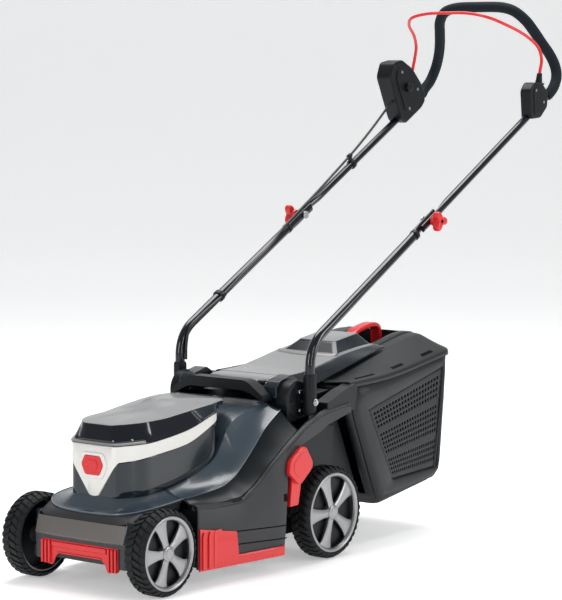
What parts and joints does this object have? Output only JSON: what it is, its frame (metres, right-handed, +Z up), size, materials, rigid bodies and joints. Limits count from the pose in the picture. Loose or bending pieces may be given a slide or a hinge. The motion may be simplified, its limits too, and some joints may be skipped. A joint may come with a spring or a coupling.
{
  "type": "cordless rotary lawn mower",
  "caption": "Compact four-wheel rotary lawn mower with battery bay, rear grass box, height lever and folding U-shaped handle.",
  "frame": {"origin": "middle of the footprint, on the ground under the wheels", "axes": "+Z up, -Y towards the front of the mower, +X towards the operator's left, the lever side"},
  "size_m": [0.38, 1.3512, 1.0279],
  "materials": {
    "chassis_plastic": "fine-grained moulded polypropylene, dark grey",
    "nose_plastic": "satin grey-brown moulding",
    "red_plastic": "semi-gloss red moulding",
    "hood_paint": "satin blue-grey lacquer",
    "cowl_gloss": "high-gloss dark blue-grey",
    "white_plastic": "satin off-white moulding",
    "lid_satin": "satin light grey",
    "visor_gloss": "smoked gloss black",
    "black_plastic": "matte black moulding",
    "box_plastic": "fine-grained dark grey moulding",
    "tyre_rubber": "moulded rubber",
    "rim_silver": "brushed silver lacquer",
    "steel": "zinc-plated",
    "tube_paint": "gloss black powder coat",
    "foam": "closed-cell foam",
    "cable_sheath": "PVC sheath"
  },
  "bodies": {
    "deck": {"deck_shell": "chassis_plastic", "front_bumper": "nose_plastic", "front_comb": "red_plastic", "side_comb_left": "red_plastic", "side_comb_right": "red_plastic", "hood_cover": "hood_paint", "motor_cowl": "cowl_gloss", "white_trim": "white_plastic", "badge": "red_plastic", "motor_can": "steel", "battery_bay": "black_plastic", "deck_nose": "chassis_plastic", "hood_nose": "hood_paint", "carry_handle": "black_plastic", "rear_frame": "black_plastic", "flap_pin": "steel", "handle_bracket_left": "black_plastic", "handle_bracket_right": "black_plastic", "pivot_bolt_left": "steel", "pivot_bolt_right": "steel"},
    "battery_lid": {"lid_cover": "lid_satin", "lid_visor": "visor_gloss"},
    "battery": {"battery_pack": "black_plastic"},
    "rotor": {"motor_shaft": "steel", "blade": "steel", "blade_fan": "black_plastic"},
    "front_axle": {"front_axle": "steel"},
    "rear_axle": {"rear_axle": "steel", "height_lever": "red_plastic"},
    "height_link": {"height_link": "steel"},
    "wheel_front_left": {"tyre_front_left": "tyre_rubber", "rim_front_left": "rim_silver"},
    "wheel_front_right": {"tyre_front_right": "tyre_rubber", "rim_front_right": "rim_silver"},
    "wheel_rear_left": {"tyre_rear_left": "tyre_rubber", "rim_rear_left": "rim_silver"},
    "wheel_rear_right": {"tyre_rear_right": "tyre_rubber", "rim_rear_right": "rim_silver"},
    "rear_flap": {"rear_flap": "lid_satin"},
    "grass_box": {"grass_box_tub": "box_plastic", "grass_box_lid": "box_plastic", "box_handle": "red_plastic"},
    "lower_handle": {"lower_tube_left": "tube_paint", "lower_tube_right": "tube_paint", "handle_sleeve_left": "black_plastic", "handle_sleeve_right": "black_plastic", "knob_bolt_left": "steel", "knob_bolt_right": "steel", "control_cable": "cable_sheath"},
    "upper_handle": {"upper_tube": "tube_paint", "foam_grip": "foam", "switch_box": "black_plastic", "bail_box": "black_plastic", "bail_pin_left": "steel", "bail_pin_right": "steel", "cable_clip_upper": "black_plastic"},
    "star_knob_left": {"star_knob_left": "red_plastic"},
    "star_knob_right": {"star_knob_right": "red_plastic"},
    "bail": {"bail": "red_plastic"},
    "lock_button": {"lock_button": "black_plastic"}
  },
  "joints": [
    {"name": "height_adjust", "type": "hinge", "parent": "deck", "child": "rear_axle", "pos_m": [0, -0.1906, 0.065], "axis": [1, 0, 0], "range_deg": [-60, 0]},
    {"name": "front_axle_swing", "type": "hinge", "parent": "deck", "child": "front_axle", "pos_m": [0, -0.6276, 0.055], "axis": [1, 0, 0], "range_deg": [-60, 0]},
    {"name": "link_swing", "type": "hinge", "parent": "rear_axle", "child": "height_link", "pos_m": [0, -0.1986, 0.111], "axis": [1, 0, 0], "range_deg": [0, 60]},
    {"name": "wheel_spin_front_left", "type": "hinge", "parent": "front_axle", "child": "wheel_front_left", "pos_m": [0.1415, -0.6006, 0.075], "axis": [1, 0, 0], "continuous": true},
    {"name": "wheel_spin_front_right", "type": "hinge", "parent": "front_axle", "child": "wheel_front_right", "pos_m": [-0.1415, -0.6006, 0.075], "axis": [1, 0, 0], "continuous": true},
    {"name": "wheel_spin_rear_left", "type": "hinge", "parent": "rear_axle", "child": "wheel_rear_left", "pos_m": [0.168, -0.1636, 0.085], "axis": [1, 0, 0], "continuous": true},
    {"name": "wheel_spin_rear_right", "type": "hinge", "parent": "rear_axle", "child": "wheel_rear_right", "pos_m": [-0.168, -0.1636, 0.085], "axis": [1, 0, 0], "continuous": true},
    {"name": "rotor_spin", "type": "hinge", "parent": "deck", "child": "rotor", "pos_m": [0, -0.4036, 0.06], "axis": [0, 0, 1], "continuous": true},
    {"name": "battery_lid_open", "type": "hinge", "parent": "deck", "child": "battery_lid", "pos_m": [0, -0.3156, 0.291], "axis": [-1, 0, 0], "range_deg": [0, 60]},
    {"name": "battery_lift", "type": "slide", "parent": "deck", "child": "battery", "axis": [0, 0, 1], "range_m": [0, 0.03]},
    {"name": "rear_flap_open", "type": "hinge", "parent": "deck", "child": "rear_flap", "pos_m": [0, -0.2136, 0.318], "axis": [1, 0, 0], "range_deg": [0, 70]},
    {"name": "grass_box_pull", "type": "slide", "parent": "deck", "child": "grass_box", "axis": [0, 0.9914, 0.1305], "range_m": [0, 0.25]},
    {"name": "lower_handle_tilt", "type": "hinge", "parent": "deck", "child": "lower_handle", "pos_m": [0, -0.1916, 0.289], "axis": [1, 0, 0], "range_deg": [0, 35]},
    {"name": "upper_handle_fold", "type": "hinge", "parent": "lower_handle", "child": "upper_handle", "pos_m": [0, 0.1904, 0.599], "axis": [1, 0, 0], "range_deg": [0, 140], "deforming": ["control_cable"]},
    {"name": "star_knob_turn_left", "type": "hinge", "parent": "lower_handle", "child": "star_knob_left", "pos_m": [0.178, 0.1904, 0.599], "axis": [1, 0, 0], "continuous": true},
    {"name": "star_knob_turn_right", "type": "hinge", "parent": "lower_handle", "child": "star_knob_right", "pos_m": [-0.178, 0.1904, 0.599], "axis": [1, 0, 0], "continuous": true},
    {"name": "bail_squeeze", "type": "hinge", "parent": "upper_handle", "child": "bail", "pos_m": [0, 0.5824, 0.85], "axis": [-1, 0, 0], "range_deg": [0, 30], "stiffness_Nm_per_rad": 0.6, "springref_deg": -20.05},
    {"name": "lock_button_press", "type": "slide", "parent": "upper_handle", "child": "lock_button", "axis": [-1, 0, 0], "range_m": [0, 0.004], "stiffness_N_per_m": 400, "springref_m": -0.001}
  ],
  "couplings": [
    {"joint": "front_axle_swing", "follows": "height_adjust", "ratio": 1},
    {"joint": "link_swing", "follows": "height_adjust", "ratio": -1}
  ]
}
